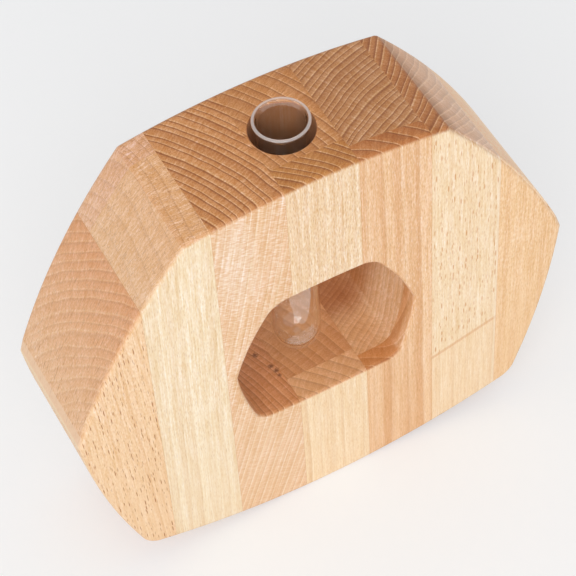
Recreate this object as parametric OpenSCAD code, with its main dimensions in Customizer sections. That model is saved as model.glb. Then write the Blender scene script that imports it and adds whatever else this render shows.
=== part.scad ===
// Wooden bud vase: a bowed six-sided block of edge-glued staves with a window of the
// same shape through its middle, a bore in its crown, and a glass tube that drops
// through the bore and stands on the floor of the window.
// X runs across the front, Y from front to back, Z up from the table.
// Lengths are in millimetres.

/* [Block outline] */
// Depth of the block from its front face to its back face
block_depth = 55; // [40:1:80]
// Width between the two shoulder corners at the crown
shoulder_w = 108; // [90:0.5:125]
// Width between the two waist corners, where the upper flanks end
waist_w = 208.6; // [190:0.2:240]
// How far the narrow facet under each waist corner leans out on its way down
facet_out = 1.8; // [1:0.1:3]
// Height of that facet
facet_h = 5.8; // [4:0.2:9]
// Width between the two corners of the base
base_w = 170.8; // [150:0.2:185]
// Height from the base corners up to the facets
lower_h = 85; // [75:0.5:105]
// Height from the waist corners up to the shoulder corners
upper_h = 83.7; // [70:0.1:100]

/* [Bowed sides] */
// How far the crown bows up between its corners
crown_bow = 4.9; // [2:0.1:8]
// How far each upper flank bows out between its corners
upper_flank_bow = 4; // [2:0.1:7]
// How far each lower flank bows out between its corners
lower_flank_bow = 3; // [2:0.1:6]
// How far the base bows down between its corners
base_bow = 12.9; // [8:0.1:16]
// How deep the lowest part of the base is sanded flat to stand on
base_flat = 0.6; // [0.3:0.1:1.5]

/* [Softened edges] */
// Rounding of the edges round the front and back faces
face_edge_r = 2; // [1:0.25:2.25]
// Rounding of the two shoulder corners
shoulder_r = 3.5; // [3:0.25:6]
// Rounding of the two base corners
base_r = 11.5; // [6:0.25:14]

/* [Window] */
// Height of the window's floor corners above the table
sill_z = 63.1; // [50:0.1:75]
// Height from the window's floor corners up to its side corners
win_lower_h = 32.5; // [25:0.5:40]
// Height from the window's side corners up to its top corners
win_upper_h = 34.5; // [25:0.5:40]
// Width between the top corners of the window
win_top_w = 42; // [34:0.5:52]
// Width between the side corners of the window
win_mid_w = 77.5; // [70:0.5:82]
// Width between the floor corners of the window
win_floor_w = 62; // [50:0.5:68]
// How far the window's top bows up
win_top_bow = 0.6; // [0.3:0.1:2]
// How far the window's upper sides bow out
win_upper_bow = 1.8; // [0.5:0.1:3]
// How far the window's lower sides bow out
win_lower_bow = 1.2; // [0.5:0.1:2.5]
// How far the window's floor bows down
win_floor_bow = 0.8; // [0.3:0.1:2]
// Rounding of the window's top corners
win_top_r = 12; // [4:0.5:14]
// Rounding of the window's floor corners
win_floor_r = 8; // [3:0.5:12]
// Rounding of the window's edge at the front and back faces
win_edge_r = 1.5; // [0.5:0.25:2.5]

/* [Staves] */
// Width of one stave of the glued board
stave_w = 30; // [30:0.5:34]
// Distance from the middle of the vase to the first glue line on its right
seam_shift = 16.6; // [14:0.1:16.8]
// Wood between the bore and the glue line in front of it, behind the middle stave's front strip
bore_land = 3; // [1.5:0.5:6]
// Thickness of the thin front strip of the stave right of the middle
right_strip_t = 8; // [5:0.5:13]
// Thickness of the thin back strip of the stave under the left shoulder
left_strip_t = 12; // [6:0.5:20]
// Height of the butt joint at the middle of the stave under the right shoulder
butt_z = 53.4; // [35:0.1:90]
// Slope of that butt joint in degrees, up to the right
butt_slope = 15; // [0:1:20]

/* [Bore] */
// Diameter of the bore through the crown
bore_d = 25; // [22.5:0.25:26]
// Rounding of the bore's edge on the crown
bore_edge_r = 0.6; // [0.3:0.1:1]

/* [Glass tube] */
// Outside diameter of the tube
tube_d = 20; // [14:0.25:21]
// Thickness of the glass
tube_wall = 1.1; // [0.8:0.1:1.8]
// Extra glass under the tube's round bottom
tube_bottom_extra = 0.6; // [0:0.1:1]
// Length of the tube from its round bottom to its lip
tube_len = 134; // [132:0.5:170]
// How far the lip flares out beyond the tube
lip_flare = 1; // [0.5:0.1:1.2]
// Height of the flared lip
lip_h = 2.6; // [2:0.1:4]
// Gap left under the tube where it stands on the window's floor
tube_seat_gap = 0.3; // [0.2:0.05:0.5]

/* [Hidden] */

// One overrun for every cut
over = 2;
// Share of its radius by which a rounded corner laps over the two bowed sides that it joins
corner_lap_share = 0.012;
// Facets of the wide bows and of the small roundings
wide_fn = 240;
small_fn = 32;
tube_fn = 64;
lip_fn = 16;

front_y = -block_depth / 2;
back_y = block_depth / 2;

// Heights above the table
base_z = base_bow - base_flat;
facet_z = base_z + lower_h;
waist_z = facet_z + facet_h;
shoulder_z = waist_z + upper_h;
crown_z = shoulder_z + crown_bow;
win_mid_z = sill_z + win_lower_h;
win_top_z = win_mid_z + win_upper_h;
win_floor_z = sill_z - win_floor_bow;

// The widest place of the block, at the lower edges of its facets
widest_w = waist_w + 2 * facet_out;
// The facets are all but flat: the radius of their slow bow, in widths of the block
facet_curve = 3;
facet_r = facet_curve * widest_w;
facet_bow = facet_r - sqrt(facet_r * facet_r - (facet_out * facet_out + facet_h * facet_h) / 4);

// Corners of the block's outline, clockwise from the left shoulder as seen from the front.
// The corners of the facets turn too little to need a rounding of their own.
block_corners = [
    [-shoulder_w / 2, shoulder_z], [shoulder_w / 2, shoulder_z],
    [waist_w / 2, waist_z], [widest_w / 2, facet_z],
    [base_w / 2, base_z], [-base_w / 2, base_z],
    [-widest_w / 2, facet_z], [-waist_w / 2, waist_z]
];
block_bows = [
    crown_bow, upper_flank_bow, facet_bow, lower_flank_bow,
    base_bow, lower_flank_bow, facet_bow, upper_flank_bow
];
block_radii = [shoulder_r, shoulder_r, 0, 0, base_r, base_r, 0, 0];

// The same for the window
win_corners = [
    [-win_top_w / 2, win_top_z], [win_top_w / 2, win_top_z], [win_mid_w / 2, win_mid_z],
    [win_floor_w / 2, sill_z], [-win_floor_w / 2, sill_z], [-win_mid_w / 2, win_mid_z]
];
win_bows = [win_top_bow, win_upper_bow, win_lower_bow, win_floor_bow, win_lower_bow, win_upper_bow];
win_radii = [win_top_r, win_top_r, 0, win_floor_r, win_floor_r, 0];

// Glue lines between the seven staves, left to right
seam_x = [for (i = [-3:2]) seam_shift + i * stave_w];

// The tube stands on the window's floor
tube_bottom_z = win_floor_z + tube_seat_gap;
tube_r = tube_d / 2;
tube_in_r = tube_r - tube_wall;

// Geometry of one bowed side, from corner p to corner q: the radius of its arc
function bow_radius(p, q, bow) = (norm(q - p) * norm(q - p) / 4 + bow * bow) / (2 * bow);
// and the centre of its arc, on the inner side of the outline
function bow_centre(p, q, bow) =
    let (d = (q - p) / norm(q - p), out = [-d[1], d[0]])
    (p + q) / 2 - out * (bow_radius(p, q, bow) - bow);
// The crossing of two circles that lies nearer to a point
function circles_meet(c1, r1, c2, r2, near) =
    let (
        gap = norm(c2 - c1),
        u = (c2 - c1) / gap,
        along = (r1 * r1 - r2 * r2 + gap * gap) / (2 * gap),
        across = sqrt(r1 * r1 - along * along),
        foot = c1 + u * along,
        a = foot + [-u[1], u[0]] * across,
        b = foot - [-u[1], u[0]] * across
    )
    norm(a - near) < norm(b - near) ? a : b;

// Whether the side from p to q, widened by a margin, reaches the box from lo to hi
function reaches(p, q, margin, lo, hi) =
    min(p[0], q[0]) - margin < hi[0] && max(p[0], q[0]) + margin > lo[0] &&
    min(p[1], q[1]) - margin < hi[1] && max(p[1], q[1]) + margin > lo[1];

// Profile of a round slab whose two rims are rounded off
module soft_rim_profile(r, depth, edge) {
    difference() {
        translate([0, -depth / 2]) square([r, depth]);
        for (side = [0, 1]) mirror([0, side]) translate([r - edge, depth / 2 - edge]) difference() {
            square(edge + over);
            circle(edge, $fn = small_fn);
        }
    }
}

// Profile of a round cutter that opens out at both ends, to round off the rims of its hole
module flared_profile(r, depth, edge) {
    translate([0, -depth / 2 - over]) square([r, depth + 2 * over]);
    for (side = [0, 1]) mirror([0, side]) translate([r, depth / 2 - edge]) difference() {
        square([edge, edge + over]);
        translate([edge, 0]) circle(edge, $fn = small_fn);
    }
}

// A disc lying in the outline's plane, soft rimmed for the block or flared for a hole
module outline_disc(centre, r, edge, flared, fn) {
    translate([centre[0], centre[1], 0]) rotate_extrude($fn = fn)
        if (flared) flared_profile(r, block_depth, edge);
        else soft_rim_profile(r, block_depth, edge);
}

// An outline with bowed sides, its plane laid flat, whose corners are rounded where they
// have a radius.
// Only the sides and corners that reach the piece between lo and hi are drawn.
module bowed_outline(corners, bows, radii, edge, flared, lo, hi) {
    n = len(corners);
    radius = [for (i = [0:n - 1]) bow_radius(corners[i], corners[(i + 1) % n], bows[i])];
    centre = [for (i = [0:n - 1]) bow_centre(corners[i], corners[(i + 1) % n], bows[i])];
    fillet = [for (i = [0:n - 1]) let (j = (i + n - 1) % n) radii[i] > 0
        ? circles_meet(centre[j], radius[j] - radii[i], centre[i], radius[i] - radii[i], corners[i])
        : corners[i]];
    sides = [for (i = [0:n - 1]) let (j = (i + 1) % n)
        if (reaches(corners[i], corners[j], max(bows[i], radii[i], radii[j]) + edge, lo, hi)) i];
    bends = [for (i = [0:n - 1])
        if (radii[i] > 0 && reaches(corners[i], corners[i], radii[i] + edge, lo, hi)) i];
    difference() {
        intersection_for (i = sides) outline_disc(centre[i], radius[i], edge, flared, wide_fn);
        for (i = bends) {
            j = (i + n - 1) % n;
            reach = 2 * (radii[i] + edge);
            round_r = radii[i] * (1 + corner_lap_share);
            n1 = (fillet[i] - centre[j]) / norm(fillet[i] - centre[j]) * reach;
            n2 = (fillet[i] - centre[i]) / norm(fillet[i] - centre[i]) * reach;
            difference() {
                translate([fillet[i][0], fillet[i][1], -block_depth / 2 - 2 * over])
                    linear_extrude(block_depth + 4 * over) polygon([[0, 0], n1, n1 + n2, n2]);
                outline_disc(fillet[i], round_r, edge, flared, small_fn);
                if (!flared) translate([fillet[i][0], fillet[i][1], -block_depth / 2 - 3 * over])
                    cylinder(r = round_r - edge, h = block_depth + 6 * over, $fn = small_fn);
            }
        }
    }
}

// The block, cut after glue-up and standing on its flat, round the piece between lo and hi
module vase_block(lo, hi) {
    difference() {
        rotate([90, 0, 0])
            bowed_outline(block_corners, block_bows, block_radii, face_edge_r, false, lo, hi);
        translate([-waist_w, -block_depth, -base_bow]) cube([2 * waist_w, 2 * block_depth, base_bow]);
    }
}

// The window right through the block, round the piece between lo and hi
module window_cut(lo, hi) {
    rotate([90, 0, 0]) bowed_outline(win_corners, win_bows, win_radii, win_edge_r, true, lo, hi);
}

// The bore from the crown down into the window, with its upper edge rounded off
module bore_cut() {
    bore_r = bore_d / 2;
    translate([0, 0, win_mid_z]) cylinder(d = bore_d, h = crown_z + over - win_mid_z, $fn = small_fn);
    translate([0, 0, crown_z - bore_edge_r]) rotate_extrude($fn = small_fn) difference() {
        square([bore_r + bore_edge_r, bore_edge_r + over]);
        translate([bore_r + bore_edge_r, 0]) circle(bore_edge_r, $fn = small_fn);
    }
}

// The part of the block from glue line x0 to x1, from y0 to y1 in depth and z0 to z1 in
// height, with the window and the bore cut out of it where it has them
module stave(x0, x1, y0 = front_y - over, y1 = back_y + over, z0 = -over, z1 = crown_z + over,
        window = false, bore = false) {
    difference() {
        intersection() {
            vase_block([x0, z0], [x1, z1]);
            translate([x0, y0, z0]) cube([x1 - x0, y1 - y0, z1 - z0]);
        }
        if (window) window_cut([x0, z0], [x1, z1]);
        if (bore) bore_cut();
    }
}

left_end = -widest_w / 2 - over;
right_end = widest_w / 2 + over;
mid_seam_y = -bore_d / 2 - bore_land;
right_seam_y = front_y + right_strip_t;
left_seam_y = back_y - left_strip_t;

module stave_1() color("#dcb283") stave(left_end, seam_x[0]);

module stave_2_front() color("#efd0a2") stave(seam_x[0], seam_x[1], y1 = left_seam_y);

module stave_2_back() color("#e0b98a") stave(seam_x[0], seam_x[1], y0 = left_seam_y);

module stave_3() color("#e6bd93") stave(seam_x[1], seam_x[2], window = true, bore = true);

module stave_4_upper_front() color("#e9c494")
    stave(seam_x[2], seam_x[3], y1 = mid_seam_y, z0 = win_mid_z, window = true);

module stave_4_upper_back() color("#dfb384")
    stave(seam_x[2], seam_x[3], y0 = mid_seam_y, z0 = win_mid_z, window = true, bore = true);

module stave_4_lower_front() color("#ebc899")
    stave(seam_x[2], seam_x[3], y1 = mid_seam_y, z1 = win_mid_z, window = true);

module stave_4_lower_back() color("#e2b888")
    stave(seam_x[2], seam_x[3], y0 = mid_seam_y, z1 = win_mid_z, window = true);

module stave_5_front() color("#deb17f")
    stave(seam_x[3], seam_x[4], y1 = right_seam_y, window = true);

module stave_5_back() color("#e4bc90")
    stave(seam_x[3], seam_x[4], y0 = right_seam_y, window = true);

// Everything above the slanted butt joint
module above_butt() {
    translate([(seam_x[4] + seam_x[5]) / 2, 0, butt_z]) rotate([0, -butt_slope, 0])
        translate([-waist_w, -block_depth, 0]) cube([2 * waist_w, 2 * block_depth, 2 * crown_z]);
}

module stave_6_upper() color("#f0d3a6") intersection() {
    stave(seam_x[4], seam_x[5]);
    above_butt();
}

module stave_6_lower() color("#ecc793") difference() {
    stave(seam_x[4], seam_x[5]);
    above_butt();
}

module stave_7() color("#e2b27a") stave(seam_x[5], right_end);

// Profile of the tube's outside, from its round bottom to its flared lip
module tube_outer_profile() {
    lip_r = tube_r + lip_flare;
    intersection() {
        translate([0, tube_r]) circle(tube_r, $fn = small_fn);
        square([tube_r, tube_r]);
    }
    translate([0, tube_r]) square([tube_r, tube_len - lip_h - tube_r]);
    translate([0, tube_len - lip_h]) polygon([
        [0, 0], [tube_r, 0], [lip_r, lip_h - tube_wall / 2], [lip_r - tube_wall / 2, lip_h], [0, lip_h]
    ]);
    translate([lip_r - tube_wall / 2, tube_len - tube_wall / 2]) circle(tube_wall / 2, $fn = lip_fn);
}

// Profile of the tube's inside
module tube_inner_profile() {
    hollow_z = tube_wall + tube_bottom_extra;
    intersection() {
        translate([0, hollow_z + tube_in_r]) circle(tube_in_r, $fn = small_fn);
        translate([0, hollow_z]) square([tube_in_r, tube_in_r]);
    }
    translate([0, hollow_z + tube_in_r]) square([tube_in_r, tube_len - lip_h - hollow_z - tube_in_r]);
    translate([0, tube_len - lip_h]) polygon([
        [0, 0], [tube_in_r, 0], [tube_in_r + lip_flare, lip_h - tube_wall / 2],
        [tube_in_r + lip_flare, lip_h + over], [0, lip_h + over]
    ]);
}

module glass_tube() color("#d9e6e3", 0.4) translate([0, 0, tube_bottom_z]) rotate_extrude($fn = tube_fn)
    difference() {
        tube_outer_profile();
        tube_inner_profile();
        translate([-tube_d, -over]) square([tube_d, tube_len + 2 * over]);
    }

stave_1();
stave_2_front();
stave_2_back();
stave_3();
stave_4_upper_front();
stave_4_upper_back();
stave_4_lower_front();
stave_4_lower_back();
stave_5_front();
stave_5_back();
stave_6_upper();
stave_6_lower();
stave_7();
glass_tube();
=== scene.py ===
"""Looks for the wooden bud vase: edge-glued beech staves and a glass tube on a pale floor.

The staves keep their CAD solids. Their wood is one solid texture in millimetres, built round
a pith line beside each stave, so the rings, rays and fibres run on from the front over the
end grain of the crown and through the window.
"""
import math
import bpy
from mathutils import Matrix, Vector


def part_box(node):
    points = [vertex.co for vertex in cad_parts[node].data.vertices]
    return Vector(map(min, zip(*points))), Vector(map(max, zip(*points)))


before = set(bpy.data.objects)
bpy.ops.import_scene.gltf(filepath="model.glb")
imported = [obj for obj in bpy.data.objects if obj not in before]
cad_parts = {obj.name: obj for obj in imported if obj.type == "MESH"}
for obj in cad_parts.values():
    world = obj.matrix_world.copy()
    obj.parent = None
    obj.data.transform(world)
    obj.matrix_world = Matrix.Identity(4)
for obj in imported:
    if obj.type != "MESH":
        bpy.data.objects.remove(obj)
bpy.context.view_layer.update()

from types import SimpleNamespace

import bpy
from mathutils import Matrix, Vector

MM = 0.001


def put(name, data):
    """A new object with that data, linked into the scene."""
    thing = bpy.data.objects.new(name, data)
    bpy.context.scene.collection.objects.link(thing)
    return thing


# ---------------------------------------------------------------- camera

CAMERA_AT = Vector((-236.83, -509.83, 834.7)) * MM
CAMERA_AZIMUTH = math.radians(-24.685)
CAMERA_ELEVATION = math.radians(52.709)
CAMERA_ROLL = math.radians(-4.499)
LENS, SENSOR = 147.87, 36.0  # in mm


def make_camera():
    """The camera, aimed by its azimuth round the vase, its elevation and its roll."""
    az, el, roll = CAMERA_AZIMUTH, CAMERA_ELEVATION, CAMERA_ROLL
    back = Vector((math.sin(az) * math.cos(el), -math.cos(az) * math.cos(el), math.sin(el)))
    level = Vector((math.cos(az), math.sin(az), 0))
    rise = back.cross(level)
    right = math.cos(roll) * level + math.sin(roll) * rise
    up = -math.sin(roll) * level + math.cos(roll) * rise
    data = bpy.data.cameras.new("camera")
    data.lens, data.sensor_width = LENS, SENSOR
    camera = put("camera", data)
    turn = Matrix((right, up, back)).transposed().to_4x4()
    camera.matrix_world = Matrix.Translation(CAMERA_AT) @ turn
    bpy.context.scene.camera = camera


# ---------------------------------------------------------------- node helper

COLOUR_RESULT = 2  # a Mix node's output for colours, which come in at i6 and i7


class Nodes:
    """Writes the nodes of a material or world as short expressions."""

    def __init__(self, owner):
        owner.use_nodes = True
        self.owner, self.tree = owner, owner.node_tree
        self.tree.nodes.clear()

    def add(self, kind, out=0, settings=None, **inputs):
        """A new node's output. Its inputs are set or linked by name, or by number as i0, i1."""
        node = self.tree.nodes.new(kind)
        for key, value in (settings or {}).items():
            setattr(node, key, value)
        for key, value in inputs.items():
            numbered = key[0] == "i" and key[1:].isdigit()
            socket = node.inputs[int(key[1:]) if numbered else key.replace("_", " ")]
            if isinstance(value, bpy.types.NodeSocket):
                self.tree.links.new(value, socket)
            else:
                socket.default_value = value
        return node.outputs[out]

    def surface(self, shader, output="ShaderNodeOutputMaterial"):
        """Links the shader to the output, and gives back the material or world."""
        self.tree.links.new(shader, self.tree.nodes.new(output).inputs["Surface"])
        return self.owner

    def math(self, operation, a, b=0.0, c=0.0):
        return self.add("ShaderNodeMath", 0, {"operation": operation}, i0=a, i1=b, i2=c)

    def times(self, first, *others):
        """The product of those values."""
        for other in others:
            first = self.math("MULTIPLY", first, other)
        return first

    def gain(self, value, by):
        """A factor: 1 where the value is 0, and 1 + by where it is 1."""
        return self.math("MULTIPLY_ADD", value, by, 1.0)

    def weighted(self, *parts):
        """The sum of those values, each times its weight."""
        total = 0.0
        for value, weight in parts:
            total = self.math("MULTIPLY_ADD", value, weight, total)
        return total

    def smooth(self, value, low, high, to_low=0.0, to_high=1.0):
        """The value mapped smoothly from low..high to to_low..to_high."""
        return self.add("ShaderNodeMapRange", 0, {"interpolation_type": "SMOOTHSTEP"},
                        i0=value, i1=low, i2=high, i3=to_low, i4=to_high)

    def within(self, value, start, full, fade, end):
        """1 from full to fade, falling to 0 at start and at end."""
        return self.times(self.smooth(value, start, full), self.smooth(value, end, fade))

    def near(self, value, at, reach, core):
        """1 within core of a value, falling to 0 at reach from it."""
        return self.smooth(self.math("ABSOLUTE", self.math("SUBTRACT", value, at)), reach, core)

    def vector(self, operation, a, b=(0, 0, 0), out="Vector", **more):
        return self.add("ShaderNodeVectorMath", out, {"operation": operation},
                        i0=a, i1=b, **more)

    def combine(self, x, y, z):
        return self.add("ShaderNodeCombineXYZ", i0=x, i1=y, i2=z)

    def length(self, x, y):
        """The length of a vector with that x and y."""
        return self.vector("LENGTH", self.combine(x, y, 0.0), out="Value")

    def split(self, vector):
        """The x, y and z of a vector."""
        return [self.add("ShaderNodeSeparateXYZ", axis, i0=vector) for axis in "XYZ"]

    def stretched(self, values, sizes):
        """A place made of three values, each divided by its size."""
        return self.combine(*(self.math("DIVIDE", value, size)
                              for value, size in zip(values, sizes)))

    def noise(self, at, detail, roughness=0.5, out=0):
        return self.add("ShaderNodeTexNoise", out, Vector=at, Scale=1.0, Detail=detail,
                        Roughness=roughness)

    def mix(self, factor, a, b):
        """Colour b over colour a by factor."""
        return self.add("ShaderNodeMix", COLOUR_RESULT, {"data_type": "RGBA"},
                        i0=factor, i6=a, i7=b)

    def tinted(self, colour, tint, *amounts):
        """A tint, given as an sRGB colour and its strength, over a colour by those amounts."""
        over, strength = tint
        return self.mix(self.times(*amounts, strength), colour, linear(over))

    def changed(self, colour, amount, factors):
        """A colour times a factor for each channel, by that amount."""
        return self.mix(amount, colour, self.vector("MULTIPLY", colour, factors))


def linear(hex_colour):
    """An sRGB colour such as "e6c29a" as a linear RGBA tuple."""
    parts = [int(hex_colour[i:i + 2], 16) / 255 for i in (0, 2, 4)]
    return tuple(p / 12.92 if p <= 0.04045 else ((p + 0.055) / 1.055) ** 2.4
                 for p in parts) + (1.0,)


def scaled(colour, factors):
    """A linear colour times a factor for each channel."""
    return tuple(min(1.0, c * f) for c, f in zip(colour, factors)) + (1.0,)


# ---------------------------------------------------------------- wood of each stave

# What a stave's wood gives, with lengths in mm and colours in sRGB. What it leaves out is as in
# ANY_STAVE.
# pith: where the stave's pith is, by direction in degrees round Z from +X, and by distance.
# ring: mean ring width. lean: the grain's shift to +X, as factors of z and z squared.
# side: side-grain colour. band: how strongly its rings and streaks differ there.
# end: end-grain colour. tones: strength of the rings' broad bands there.
# lines: strength of the rings' thin lines. bright: strength of the pale ones on side grain.
# dashes: strength of the dark ray dashes on side grain. dash, gap: their half sizes and their
# spacing, each across the face, into it and up the grain. dash_colour: their colour.
# fleck: sizes of the fine rays, towards the pith, round it and up the grain, and their strength
# on side grain. slant: how far they rise for each mm away from the pith.
# grain: strength of the fine grain and the pores. patch: strength of the large soft patches.
# glow: a painted highlight, a large pale patch on the front, by x and z of its middle and its
# half sizes.
# polish: painted light on the window's walls: a factor on their colour by channel,
# mostly paler, as if more light reached into the window. soft: how far these walls hide the
# rings' thin lines.
# shade: painted shade and painted light further along these walls: a factor on their colour by
# channel, and the axes along which it comes: for each one, where it sets in and where it is
# complete.
# spots: dark specks on the window's floor, each by x, y and size.
ANY_STAVE = dict(tones=1.0, bright=0.2, dash=(0.17, 9.0, 1.75), gap=(2.1, 14.0, 4.6),
                 dash_colour="a9652c", fleck=(6.0, 0.34, 1.7, 0.35), slant=0.0, grain=1.0,
                 patch=0.3, glow=None, polish=(0.98, 0.99, 1.0), soft=0.5, shade=None, spots=())
STAVES = {
    "stave_1": dict(
        pith=(210, 150), ring=2.6, lean=(-0.05, 0), side="f4cea2", band=0.45, end="d78f5d",
        lines=0.6, tones=0.5, dashes=1.0, fleck=(6.0, 0.3, 1.5, 0.25)),
    "stave_2_front": dict(
        pith=(177, 200), ring=4.4, lean=(0.02, 0), side="f7e1be", band=0.6, end="e2ae80",
        lines=0.3, tones=0.3, dashes=0.15, fleck=(1.6, 0.3, 1.9, 0.15)),
    "stave_2_back": dict(
        pith=(191, 90), ring=3.6, lean=(0, 0), side="f7dab8", band=0.8, end="e2ae89",
        lines=0.35, tones=0.5, dashes=0.4),
    "stave_3": dict(
        pith=(199, 200), ring=2.7, lean=(0.36, -0.0005), side="efc79e", band=0.6, end="cf905b",
        lines=1.0, bright=0.8, dashes=0.0, fleck=(3.4, 1.2, 0.6, 0.6), slant=-0.4, grain=0.15,
        # A painted highlight high on its front, and painted light on its window walls
        patch=0.9, glow=(-35, 163, 8, 24), polish=(1.06, 1.05, 1.12),
        spots=((-18.8, 1.2, 1.8), (-15.9, -6.7, 1.6), (-14.9, -9.6, 1.7), (-14.8, -12.2, 1.2))),
    "stave_4_upper_front": dict(
        pith=(221, 90), ring=3.2, lean=(0, 0), side="f4d6af", band=0.8, end="c18245",
        lines=1.0, dashes=0.2, grain=1.5),
    "stave_4_upper_back": dict(
        pith=(202, 120), ring=3.8, lean=(0.02, 0), side="f6dab4", band=1.0, end="c88a54",
        lines=0.8, dashes=0.4),
    "stave_4_lower_front": dict(
        pith=(221, 90), ring=4.0, lean=(0, 0), side="f8dbb3", band=0.7, end="e0a678",
        lines=0.9, dashes=0.05, polish=(1.04, 1.12, 1.1)),
    "stave_4_lower_back": dict(
        pith=(202, 150), ring=4.2, lean=(-0.02, 0), side="f8ddb9", band=0.9, end="d39666",
        lines=0.7, dashes=0.3, polish=(0.99, 0.99, 0.92)),
    "stave_5_front": dict(
        pith=(234, 60), ring=4.2, lean=(0, 0), side="f2c79a", band=1.15, end="c17c45",
        # Its window walls get painted light, and a painted highlight towards the right wall's front
        # edge
        lines=0.9, bright=0.1, dashes=0.15, grain=1.3, polish=(1.22, 1.36, 1.52), soft=0.7,
        shade=((1.2, 1.45, 1.8), dict(y=(-22.0, -25.0), z=(63.5, 68.0)))),
    "stave_5_back": dict(
        pith=(298, 250), ring=2.4, lean=(0.01, 0), side="efc79c", band=1.2, end="c18859",
        # Its window walls get painted light, and painted shade towards the back of the right wall
        lines=0.8, dashes=0.4, polish=(1.38, 1.68, 2.05), soft=0.85,
        shade=((0.62, 0.41, 0.25), dict(y=(-6, 11)))),
    "stave_6_upper": dict(
        pith=(140, 120), ring=2.6, lean=(0, 0), side="f9deb8", band=0.3, end="bc7c4a",
        lines=0.9, dashes=0.75, dash=(0.27, 9.0, 1.7), gap=(2.7, 14.0, 5.4),
        dash_colour="cf8433", fleck=(6.0, 0.34, 1.7, 0.2)),
    "stave_6_lower": dict(
        pith=(140, 120), ring=5.0, lean=(0, 0), side="f9dbb3", band=0.5, end="c08252",
        lines=0.8, dashes=0.08, fleck=(6.0, 0.34, 1.7, 0.2)),
    "stave_7": dict(
        pith=(30, 150), ring=4.4, lean=(0.02, 0), side="f5cb9a", band=0.5, end="cf9662",
        lines=0.5, tones=0.5, dashes=0.1),
}

# ---------------------------------------------------------------- wood of all staves

NOISE_MIDDLE = 0.5  # of a noise's values, from 0 to 1

# Noise patterns: their sizes in mm, then the noise's detail and roughness
TICK = ((0.5, 0.5, 3.2), 1.0, 0.5)      # the fine grain, by x, y and z
CLOUD = ((9, 9, 24), 2.0, 0.5)          # the large soft patches, by x, y and z
SPOKE = ((6.0, 1.1, 6.0), 1.0, 0.5)     # the rays on end grain: towards the pith, round it, up
FIBRE = ((0.7, 0.7, 18.0), 3.0, 0.6)    # the fibres, in the same order
STREAK = ((2.4, 4.8, 180.0), 3.0, 0.5)  # the soft streaks, in the same order
FLECK_NOISE = (1.5, 0.55)               # the fine rays, whose sizes each stave gives

# Strokes: the dashes, whose sizes each stave gives, and the pores
PORE, PORE_GAP = (0.13, 3.0, 0.9), (0.95, 5.0, 2.7)  # half sizes and spacing, as for a dash
STROKE_SIZE = (0.6, 0.6)      # what chance adds to a stroke's size, and the least size
STROKE_STRENGTH = (0.7, 0.3)  # the same for its strength
STROKE_EDGE = (1.25, 0.6)     # where a stroke ends and where it is full, in its half sizes

# Rings: how far they leave true circles, in mm, and how uneven their widths are, in rings, each
# with the sizes and the detail of the noise for it
WANDER, WANDER_OVER, WANDER_DETAIL = 1.6, (26, 26, 110), 2.0
UNEVEN, UNEVEN_OVER, UNEVEN_DETAIL = 1.7, 2.3, 1.0
UNEVEN_ROW = 1.9              # the row of that noise which the rings read
# A ring's tones: where each one starts, is full, fades and ends
LATE = (0.15, 0.9, 0.84, 1.0)        # the slow darkening, in parts of the ring
DARK_LINE = (-3.0, -0.7, -0.4, 0.0)  # the dark line at the ring's end, in units of LINE
PALE_LINE = (0.0, 0.4, 0.6, 1.9)     # the pale line at its start, in the same units
LINE = 0.28                          # in mm

# Kinds of face. Each FACING is how much of the normal lies along an axis where the kind sets in
# and where it is complete. An X or Z says the same of the place, in mm.
END_FACING = (0.1, 0.8)              # end grain, along z
CROWN_FACING, CROWN_Z = (0.88, 0.97), (150, 160)  # the raw end grain of the crown, along z
WALL_FACING = (0.7, 0.3)             # the walls of the window, along y
WINDOW_X, WINDOW_Z, WINDOW_EDGE = 42.6, (61, 131), 0.3  # its half width, floor, top, soft edge
# Painted sheen: where the upper right flank is made paler, as if mirroring the pale surround
FAR_FACING, FAR_X, FAR_Z = (0.5, 0.7), (55, 62), (103.1, 106.1)  # the upper right flank, along x
FACET_FACING = (0.6, 0.9)            # the facets at the waist, along x; nothing limits them in x,
#                                      so the window's side walls count too at the same heights
FACET_Z, FACET_EDGE = (97.3, 103.1), (2, 0.2)  # their lower and upper edge, and how soft each is
# A painted highlight lies along these rims, where they would catch light from the floor
CORNER_FACING, CORNER_X = (0.8, 0.4), (100, 103)  # the rims of their lower edge, along y
CORNER_EDGE = (1.6, 0.4)             # how far from that edge they end and are complete
BORE_R, BORE_EDGE, BORE_Z = 12.5, (0.5, 0.1), (125, 132)  # the bore's wall
FLANK_FACING = 0.6                   # a flank, for the strokes, along x

# Seams, in mm: the half widths at which a tint ends and at which it is full
SEAM, BUTT_SEAM, PALE_SEAM = (0.14, 0.02), (1.5, 0.4), (0.8, 0.2)
GLUED_WITHIN = (100, 27)             # a stave's side nearer the middle in x or y is a glued one
BUTTED = "stave_6"                   # how the names of the staves at the butt joint start
BUTT_AT, BUTT_SLOPE = (61.6, 53.4), math.radians(15)  # the x and z of its middle, and its slope
PALE_SEAMED, PALE_SEAM_X = ("stave_6", "stave_7"), 76.1  # the seam with a pale line beside it

# The heights in mm between which the fine grain and the fine rays grow from that share of their
# strength to all of it
CALM_Z, CALM = (20, 110), 0.6
FLECK_Z, FLECK_LOW = (45, 105), 0.35

# Tints that are laid over the wood, each with its strength
DARK_RING, PALE_RING = ("b07038", 0.1), ("fdeed9", 1.0)          # a ring's lines on side grain
END_DARK_RING, END_PALE_RING = ("8a4f2a", 0.6), ("e8ba8c", 0.7)  # and on end grain
END_RAY = ("a5683e", 0.42)
DARK_FLECK, PALE_FLECK = ("e6ad82", 0.5), ("fdebd6", 0.45)       # the fine rays
PORE_TINT = ("b5793f", 0.3)
# Painted highlight: the pale patch high on the front, where it is lit brightest
PAINTED_HIGHLIGHT = ("fbe7d3", 0.45)
SPECK = ("5e2d1a", 0.75)
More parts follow.
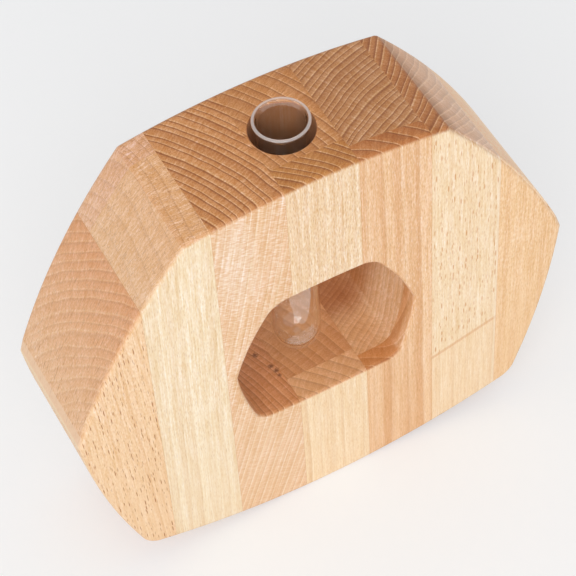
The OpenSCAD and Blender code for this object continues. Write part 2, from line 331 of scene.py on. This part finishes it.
# The facets' own paler wood, then a painted highlight along the rims of their lower edge
FACET, PAINTED_CORNER_LIGHT = ("efc9a6", 0.65), ("f7dfba", 0.6)
# Painted shade: the bore's wall made dark, as deep in a hole
BORE_SHADE = ("8a4a20", 0.85)
GLUE, BUTT_GLUE, PALE_GLUE = ("c58747", 0.42), ("d8924c", 0.42), ("fbe6cc", 0.4)

# Factors on the wood's colour, by channel
SIDE_MORE = (0.05, 0.1, 0.16)     # side grain where it is palest: what a band of 1 adds to 1
SIDE_DARK = (0.88, 0.76, 0.64)    # and where it is darkest
END_PALE = (1.06, 1.06, 1.06)     # end grain where it is palest
END_DARK = (0.82, 0.73, 0.64)     # and where it is darkest
RAW_COLOUR = (1.04, 1.045, 1.01)  # the crown
# Painted sheen on the upper right flank, for the pale surround it mirrors at a grazing angle
PAINTED_SHEEN = (1.44, 1.66, 2.02)   # the upper right flank

# Shares of a ring's darkening and of chance in the bands, and on side grain of the streaks. The
# range is the sum's values from the palest wood to the darkest.
SIDE_TONES, SIDE_RANGE = (0.4, 0.35, 1.8), (-0.3, 1.1)
END_TONES = (0.5, 0.3)

# Where the tint of a pattern sets in and where it is full
DARK_FLECK_AT, PALE_FLECK_AT = (0.5, 0.4), (0.53, 0.65)
END_RAY_AT = (0.03, 0.008)        # from the noise's middle
PAINTED_HIGHLIGHT_EDGE = (1.4, 0.4)            # in the patch's half sizes
SPECK_EDGE = (1.4, 0.5)           # in the speck's size
SPECK_RAGGED = 0.8                # how far the fine grain moves that edge

# The mottling: strength of its patterns on side grain and on end grain, and its power in red and
# in green. Blue has twice green's.
MOTTLE = dict(tick=(0.3, 0.5), fibre=(0.55, 0.1), cloud=(0.25, 0.2), fine=(0.5, 0.3),
              spoke=(0.0, 0.4))
MOTTLE_RED, MOTTLE_GREEN = 0.7, 1.35

# Where some of this is stronger or weaker
RAW_GAIN = 0.4                       # what the crown adds to the grain's strength
WALL_SHARE = 0.85                    # how far the window's walls are end grain
WALL_RAYS, WALL_RELIEF = -0.8, -0.7  # what these walls take from the rays and the relief
# The painted sheen on the upper right flank also fades the rings' lines there
SHEEN_HIDES_LINES = -0.55                    # what the upper right flank takes from the rings' lines

# Relief: the height of each pattern, the bump's strength, and its depth for a height of 1
RELIEF = dict(tick=0.4, ray=-0.1, pore=-0.35, fine=0.06)
BUMP, BUMP_DEPTH = 0.45, 0.15 * MM
ROUGH, ROUGH_TICK = 0.38, 0.16       # the least roughness, and what the fine grain adds
WOOD_IOR = 1.45


class Beech(Nodes):
    """Beech for one stave: rings round its pith, rays towards it and fibres up the grain.

    The find_ methods set the values that the others share: where a point lies, which kind of
    face it is on, and the patterns there. A value named on_ is 1 on that kind of face.
    """

    def __init__(self, name, wood):
        super().__init__(bpy.data.materials.new("beech_" + name))
        self.name = name
        self.low, self.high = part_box(name)
        self.middle = (self.low + self.high) / 2 / MM
        self.wood = SimpleNamespace(**{**ANY_STAVE, **wood})
        self.find_place()
        self.find_face()
        self.find_rings()
        self.find_patterns()

    def find_place(self):
        """The place in mm, the same with x leaned with the grain, and the place round the pith."""
        angle, distance = math.radians(self.wood.pith[0]), self.wood.pith[1]
        towards = Vector((math.cos(angle), math.sin(angle), 0))
        along = Vector((-towards.y, towards.x, 0))
        pith = Vector((self.middle.x, self.middle.y, 0)) + towards * distance

        place = self.vector("SCALE", self.add("ShaderNodeTexCoord", "Object"), Scale=1 / MM)
        self.x, self.y, self.z = self.split(place)
        by_z, by_square = self.wood.lean
        lean = self.times(self.z, self.math("MULTIPLY_ADD", self.z, -by_square, -by_z))
        self.leaned = (self.math("ADD", self.x, lean), self.y, self.z)

        # Slow noise moves the place before its distance from the pith is measured
        slow = self.vector("ADD", self.stretched(self.leaned, WANDER_OVER), tuple(pith))
        drift = self.noise(slow, WANDER_DETAIL, out="Color")
        drift = self.vector("SUBTRACT", drift, (NOISE_MIDDLE,) * 3)
        drift = self.vector("MULTIPLY", drift, (2 * WANDER, 2 * WANDER, 0))
        moved = self.vector("ADD", self.combine(*self.leaned), drift)
        from_pith = self.vector("SUBTRACT", moved, tuple(pith))
        u = self.vector("DOT_PRODUCT", from_pith, tuple(-towards), out="Value")
        v = self.vector("DOT_PRODUCT", from_pith, tuple(along), out="Value")
        self.deep = self.length(u, v)
        self.round = self.times(self.math("ARCTAN2", v, u), distance)

    def find_face(self):
        """Which kind of face a point is on."""
        normal = self.split(self.add("ShaderNodeNewGeometry", "Normal"))
        facing_x, facing_y, facing_z = (self.math("ABSOLUTE", part) for part in normal)
        floor, top = WINDOW_Z
        self.on_wall = self.times(
            self.near(self.x, 0.0, WINDOW_X + WINDOW_EDGE, WINDOW_X),
            self.within(self.z, floor - WINDOW_EDGE, floor, top, top + WINDOW_EDGE),
            self.smooth(facing_y, *WALL_FACING))
        self.on_end = self.math("MAXIMUM", self.smooth(facing_z, *END_FACING),
                                self.times(self.on_wall, WALL_SHARE))
        self.on_side = self.math("SUBTRACT", 1.0, self.on_end)
        self.on_crown = self.times(self.smooth(facing_z, *CROWN_FACING),
                                   self.smooth(self.z, *CROWN_Z))
        self.raw = self.gain(self.on_crown, RAW_GAIN)
        self.on_painted_sheen = self.times(self.smooth(facing_x, *FAR_FACING), self.smooth(self.x, *FAR_X),
                                 self.smooth(self.z, *FAR_Z))
        low, high = FACET_Z
        soft_low, soft_high = FACET_EDGE
        self.on_facet = self.times(
            self.within(self.z, low - soft_low, low, high - soft_high, high + soft_high),
            self.smooth(facing_x, *FACET_FACING))
        self.on_painted_corner_light = self.times(
            self.near(self.z, low, *CORNER_EDGE), self.smooth(facing_y, *CORNER_FACING),
            self.smooth(self.math("ABSOLUTE", self.x), *CORNER_X))
        self.on_bore = self.times(
            self.smooth(self.length(self.x, self.y), *(BORE_R + edge for edge in BORE_EDGE)),
            self.smooth(self.z, *BORE_Z))

        # The place for the strokes: on the flanks, x and y change places
        x, y, z = self.leaned
        on_flank = self.math("GREATER_THAN", facing_x, FLANK_FACING)
        swap = self.times(on_flank, self.math("SUBTRACT", y, x))
        self.face = (self.math("ADD", x, swap), self.math("SUBTRACT", y, swap), z)

    def find_rings(self):
        """Rings of uneven width: slow darkening, a dark line, then the next one's pale line."""
        ring = self.wood.ring
        along = self.math("DIVIDE", self.deep, UNEVEN_OVER * ring)
        uneven = self.noise(self.combine(along, self.middle.x, UNEVEN_ROW), UNEVEN_DETAIL)
        count = self.math("MULTIPLY_ADD", uneven, UNEVEN, self.math("DIVIDE", self.deep, ring))
        phase = self.math("FRACT", count)
        self.chance = self.add("ShaderNodeTexWhiteNoise", "Value", {"noise_dimensions": "1D"},
                               W=self.math("FLOOR", count))
        thin = LINE / ring
        self.late = self.within(phase, *LATE)
        self.dark_line = self.within(phase, *(1 + at * thin for at in DARK_LINE))
        self.pale_line = self.within(phase, *(at * thin for at in PALE_LINE))

    def find_patterns(self):
        """The grain, patches, rays, fibres, streaks, dashes and pores."""
        self.tick = self.pattern(self.leaned, *TICK)
        self.cloud = self.pattern(self.leaned, *CLOUD)
        round_pith = (self.deep, self.round, self.z)
        self.spoke = self.pattern(round_pith, *SPOKE)
        self.fibre = self.pattern(round_pith, *FIBRE)
        self.streak = self.pattern(round_pith, *STREAK)
        *sizes, self.fleck = self.wood.fleck
        risen = self.math("MULTIPLY_ADD", self.deep, -self.wood.slant, self.z)
        self.fine = self.pattern((self.deep, self.round, risen), sizes, *FLECK_NOISE)
        self.ray = self.strokes(self.wood.dash, self.wood.gap)
        self.pore = self.strokes(PORE, PORE_GAP)
        self.crispness = self.smooth(self.z, *CALM_Z, CALM, 1.0)

    def pattern(self, place, sizes, detail, roughness):
        """Noise of those sizes."""
        return self.noise(self.stretched(place, sizes), detail, roughness)

    def swing(self, pattern):
        """A noise pattern with its middle at 0."""
        return self.math("SUBTRACT", pattern, NOISE_MIDDLE)

    def strokes(self, half, gaps):
        """Upright strokes of those half sizes, strewn at those gaps, strong in their middle."""
        place = self.stretched(self.face, gaps)
        cell = self.tree.nodes.new("ShaderNodeTexVoronoi")
        self.tree.links.new(place, cell.inputs["Vector"])
        cell.inputs["Scale"].default_value = 1.0
        off = self.vector("SUBTRACT", place, cell.outputs["Position"])
        off = self.vector("MULTIPLY", off, tuple(gap / size for gap, size in zip(gaps, half)))
        chance = self.add("ShaderNodeSeparateColor", i0=cell.outputs["Color"])
        size = self.math("MULTIPLY_ADD", chance, *STROKE_SIZE)
        reach = self.math("DIVIDE", self.vector("LENGTH", off, out="Value"), size)
        return self.times(self.smooth(reach, *STROKE_EDGE),
                          self.math("MULTIPLY_ADD", chance, *STROKE_STRENGTH))

    def side_grain(self):
        """Soft bands of rings and streaks, thin ring lines and fine rays."""
        wood = self.wood
        late, chance, streak = SIDE_TONES
        tone = self.weighted((self.late, late), (self.chance, chance),
                             (self.swing(self.streak), streak))
        tone = self.times(self.smooth(tone, *SIDE_RANGE), wood.band)
        base = linear(wood.side)
        colour = self.mix(tone, scaled(base, [1 + more * wood.band for more in SIDE_MORE]),
                          scaled(base, SIDE_DARK))
        colour = self.tinted(colour, DARK_RING, self.dark_line, wood.lines * wood.band)
        colour = self.tinted(colour, PALE_RING, self.pale_line,
                             wood.bright * wood.lines * wood.band)
        # Painted highlight: the front made paler high up, near its top edge
        if wood.glow:
            x, z, half_x, half_z = wood.glow
            off = self.length(self.math("DIVIDE", self.math("SUBTRACT", self.x, x), half_x),
                              self.math("DIVIDE", self.math("SUBTRACT", self.z, z), half_z))
            colour = self.tinted(colour, PAINTED_HIGHLIGHT, self.smooth(off, *PAINTED_HIGHLIGHT_EDGE))
        fleck = self.smooth(self.z, *FLECK_Z, FLECK_LOW * self.fleck, self.fleck)
        colour = self.tinted(colour, DARK_FLECK, self.smooth(self.fine, *DARK_FLECK_AT), fleck)
        return self.tinted(colour, PALE_FLECK, self.smooth(self.fine, *PALE_FLECK_AT), fleck)

    def end_grain(self):
        """Ring lines and rays on a browner ground, softer on the window's polished walls."""
        wood = self.wood
        late, chance = END_TONES
        tone = self.times(self.weighted((self.late, late), (self.chance, chance)),
                          self.raw, wood.tones)
        base = linear(wood.end)
        colour = self.mix(tone, scaled(base, END_PALE), scaled(base, END_DARK))
        crisp = self.times(self.gain(self.on_wall, -wood.soft),
                           self.gain(self.on_painted_sheen, SHEEN_HIDES_LINES), wood.lines)
        colour = self.tinted(colour, END_DARK_RING, self.dark_line, crisp, self.on_end, self.raw)
        colour = self.tinted(colour, END_PALE_RING, self.pale_line, crisp)
        return self.tinted(colour, END_RAY, self.near(self.spoke, NOISE_MIDDLE, *END_RAY_AT),
                           self.gain(self.on_wall, WALL_RAYS))

    def mottled(self, colour):
        """The fine grain, fibres, patches and rays, darker and paler than the wood there."""
        own = dict(tick=self.wood.grain, cloud=self.wood.patch, fine=self.fleck)
        mottle = 1.0
        for name, (side, end) in MOTTLE.items():
            side *= own.get(name, 1.0)
            strength = self.times(self.math("MULTIPLY_ADD", self.on_end, end - side, side),
                                  self.crispness, self.raw)
            mottle = self.times(mottle, self.gain(self.swing(getattr(self, name)), strength))
        green = self.math("POWER", mottle, MOTTLE_GREEN)
        return self.vector("MULTIPLY", colour, self.combine(
            self.math("POWER", mottle, MOTTLE_RED), green, self.times(green, green)))

    def toned(self, colour):
        """Painted light on the window's walls, painted shade and light further along them, their
        specks, and the raw crown.
        """
        wood = self.wood
        # Painted light: the window's walls made paler by channel, as if more light reached them
        colour = self.changed(colour, self.on_wall, wood.polish)
        colour = self.changed(colour, self.on_crown, RAW_COLOUR)
        # Painted shade and painted light further along the window's walls
        if wood.shade:
            factors, places = wood.shade
            amount = self.times(self.on_wall, *(self.smooth(getattr(self, axis), *limits)
                                                for axis, limits in places.items()))
            colour = self.changed(colour, amount, factors)
        for x, y, size in wood.spots:
            off = self.length(self.math("SUBTRACT", self.x, x), self.math("SUBTRACT", self.y, y))
            ragged = self.weighted((self.tick, SPECK_RAGGED * size), (off, 1.0))
            speck = self.smooth(ragged, *(edge * size for edge in SPECK_EDGE))
            colour = self.tinted(colour, SPECK, speck, self.on_wall)
        return colour

    def seams(self):
        """1 at the glue lines round the stave, falling to 0 beside them."""
        lines = []
        for corner in (self.low, self.high):
            for value, at, limit in zip((self.x, self.y), corner, GLUED_WITHIN):
                if abs(at / MM) < limit:
                    lines.append((value, at / MM, SEAM))
        if self.name.startswith(BUTTED):
            slope = math.tan(BUTT_SLOPE)
            x, z = BUTT_AT
            level = self.math("MULTIPLY_ADD", self.x, -slope, self.z)
            lines.append((level, z - slope * x, BUTT_SEAM))
        tint = 0.0
        for value, at, width in lines:
            tint = self.math("MAXIMUM", tint, self.near(value, at, *width))
        return tint

    def marked(self, colour):
        """The smooth facets at the waist, with a painted highlight on their lower edge, painted
        shade in the bore, the glue, and painted sheen on the far flank.
        """
        colour = self.tinted(colour, FACET, self.on_facet)
        # Painted highlight along the rims of the facets' lower edge
        colour = self.tinted(colour, PAINTED_CORNER_LIGHT, self.on_painted_corner_light)
        # Painted shade inside the bore
        colour = self.tinted(colour, BORE_SHADE, self.on_bore)
        glue = BUTT_GLUE if self.name.startswith(BUTTED) else GLUE
        colour = self.tinted(colour, glue, self.seams())
        if self.name.startswith(PALE_SEAMED):
            pale = self.near(self.x, PALE_SEAM_X, *PALE_SEAM)
            colour = self.tinted(colour, PALE_GLUE, pale, self.on_side)
        # Painted sheen: the upper right flank made paler, as if mirroring the pale surround
        return self.changed(colour, self.on_painted_sheen, PAINTED_SHEEN)

    def relief(self):
        """The height of the fine grain, rays and pores, for the bump."""
        wood = self.wood
        height = self.weighted((self.tick, RELIEF["tick"] * wood.grain),
                               (self.ray, RELIEF["ray"] * wood.dashes),
                               (self.times(self.pore, self.on_side), RELIEF["pore"] * wood.grain),
                               (self.fine, RELIEF["fine"] * self.fleck))
        return self.times(height, self.gain(self.on_wall, WALL_RELIEF))

    def material(self):
        """The finished material."""
        wood = self.wood
        colour = self.mottled(self.mix(self.on_end, self.side_grain(), self.end_grain()))
        colour = self.tinted(colour, (wood.dash_colour, wood.dashes), self.ray, self.on_side)
        colour = self.tinted(colour, PORE_TINT, self.pore, self.crispness, self.on_side,
                             wood.grain)
        colour = self.marked(self.toned(colour))
        bump = self.add("ShaderNodeBump", Strength=BUMP, Distance=BUMP_DEPTH,
                        Height=self.relief())
        rough = self.math("MULTIPLY_ADD", self.tick, ROUGH_TICK, ROUGH)
        return self.surface(self.add("ShaderNodeBsdfPrincipled", Base_Color=colour,
                                     Roughness=rough, Normal=bump, IOR=WOOD_IOR))


# ---------------------------------------------------------------- glass

CLEAR = (0.98, 0.99, 0.985, 1)
CLEAR_IOR = 1.06  # low, so that the thin wall hardly bends what is seen through it
GLOSS, MOST_GLOSS = 2.5, 0.6  # how much more than plain glass it mirrors, and the most it does
GLOSS_IOR, GLOSS_ROUGH = 1.5, 0.03
# Painted highlight: a pale, half clear band round the lip, for the bright reflections there
LIP_HIGHLIGHT, RIM_IOR, RIM_ROUGH, RIM_CLEAR = "f8e8e0", 1.5, 0.2, 0.3
RIM_Z, RIM_SHARE = (195.8, 196.5), 0.65  # where it turns pale, in mm, and how far it does
SHADOW = (0.95, 0.96, 0.95, 1)  # the share of lamplight that passes, by channel


def glass():
    """Clear glass with white reflections and a painted highlight round its lip. Lamplight passes
    into the bore.
    """
    n = Nodes(bpy.data.materials.new("tube_glass"))
    body = n.add("ShaderNodeBsdfPrincipled", Base_Color=CLEAR, Roughness=0.0, IOR=CLEAR_IOR,
                 Transmission_Weight=1.0)
    shine = n.add("ShaderNodeBsdfPrincipled", Base_Color=(1, 1, 1, 1), Metallic=1.0,
                  Roughness=GLOSS_ROUGH)
    outward = n.math("SUBTRACT", 1.0, n.add("ShaderNodeNewGeometry", "Backfacing"))
    gloss = n.times(n.add("ShaderNodeFresnel", IOR=GLOSS_IOR), outward, GLOSS)
    clear = n.add("ShaderNodeMixShader", i0=n.math("MINIMUM", gloss, MOST_GLOSS),
                  i1=body, i2=shine)
    place = n.add("ShaderNodeTexCoord", "Object")
    z = n.math("DIVIDE", n.add("ShaderNodeSeparateXYZ", "Z", i0=place), MM)
    # Painted highlight round the lip
    lip_highlight = n.add("ShaderNodeBsdfPrincipled", Base_Color=linear(LIP_HIGHLIGHT), Roughness=RIM_ROUGH,
                IOR=RIM_IOR, Transmission_Weight=RIM_CLEAR)
    shader = n.add("ShaderNodeMixShader", i0=n.smooth(z, *RIM_Z, 0.0, RIM_SHARE),
                   i1=clear, i2=lip_highlight)
    see_through = n.add("ShaderNodeBsdfTransparent", Color=SHADOW)
    return n.surface(n.add("ShaderNodeMixShader", i0=n.add("ShaderNodeLightPath", "Is Shadow Ray"),
                           i1=shader, i2=see_through))


# ---------------------------------------------------------------- floor and light

FLOOR_HALF = 3.0        # in metres, wide enough for every view
FLOOR_COLOUR, FLOOR_ROUGH = "fafbfc", 0.8
FLOOR_GLOW = 0.4        # share of plain white in the floor that the camera sees
WORLD_COLOUR = (0.97, 0.98, 1.0, 1)
WORLD = 0.62            # the surround's light on the vase
WORLD_SEEN = 0.95       # the surround as the camera, gloss and glass see it
LAMP_AT, LAMP_AIM = Vector((-0.88, -1.35, 1.35)), Vector((0, 0, 0.09))  # in metres
LAMP_SIZE, LAMP_POWER, LAMP_COLOUR = 1.5, 20, (1.0, 0.985, 0.965)


def make_floor():
    """A plain pale floor."""
    mesh = bpy.data.meshes.new("floor")
    corners = [(x * FLOOR_HALF, y * FLOOR_HALF, 0) for x, y in ((-1, -1), (1, -1), (1, 1), (-1, 1))]
    mesh.from_pydata(corners, [], [(0, 1, 2, 3)])
    n = Nodes(bpy.data.materials.new("floor"))
    paper = n.add("ShaderNodeBsdfPrincipled", Base_Color=linear(FLOOR_COLOUR),
                  Roughness=FLOOR_ROUGH)
    glow = n.add("ShaderNodeEmission", Color=(1, 1, 1, 1), Strength=1.0)
    seen = n.times(n.add("ShaderNodeLightPath", "Is Camera Ray"), FLOOR_GLOW)
    mesh.materials.append(n.surface(n.add("ShaderNodeMixShader", i0=seen, i1=paper, i2=glow)))
    floor = put("floor", mesh)


def make_surround():
    """An even pale surround that the camera, gloss and glass see as near white."""
    n = Nodes(bpy.data.worlds.new("world"))
    seen = 0.0
    for ray in ("Is Camera Ray", "Is Glossy Ray", "Is Transmission Ray"):
        seen = n.math("MAXIMUM", seen, n.add("ShaderNodeLightPath", ray))
    strength = n.math("MULTIPLY_ADD", seen, WORLD_SEEN - WORLD, WORLD)
    background = n.add("ShaderNodeBackground", Color=WORLD_COLOUR, Strength=strength)
    bpy.context.scene.world = n.surface(background, "ShaderNodeOutputWorld")


def make_lamp():
    """One large soft lamp, from the front left."""
    data = bpy.data.lights.new("key", "AREA")
    data.shape, data.size, data.energy, data.color = "SQUARE", LAMP_SIZE, LAMP_POWER, LAMP_COLOUR
    lamp = put("key", data)
    lamp.location = LAMP_AT
    lamp.rotation_euler = (LAMP_AIM - LAMP_AT).to_track_quat("-Z", "Y").to_euler()


make_camera()
make_floor()
make_surround()
make_lamp()
for node_name, wood in STAVES.items():
    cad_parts[node_name].data.materials[0] = Beech(node_name, wood).material()
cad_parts["glass_tube"].data.materials[0] = glass()

bpy.context.scene.view_settings.view_transform = "Standard"
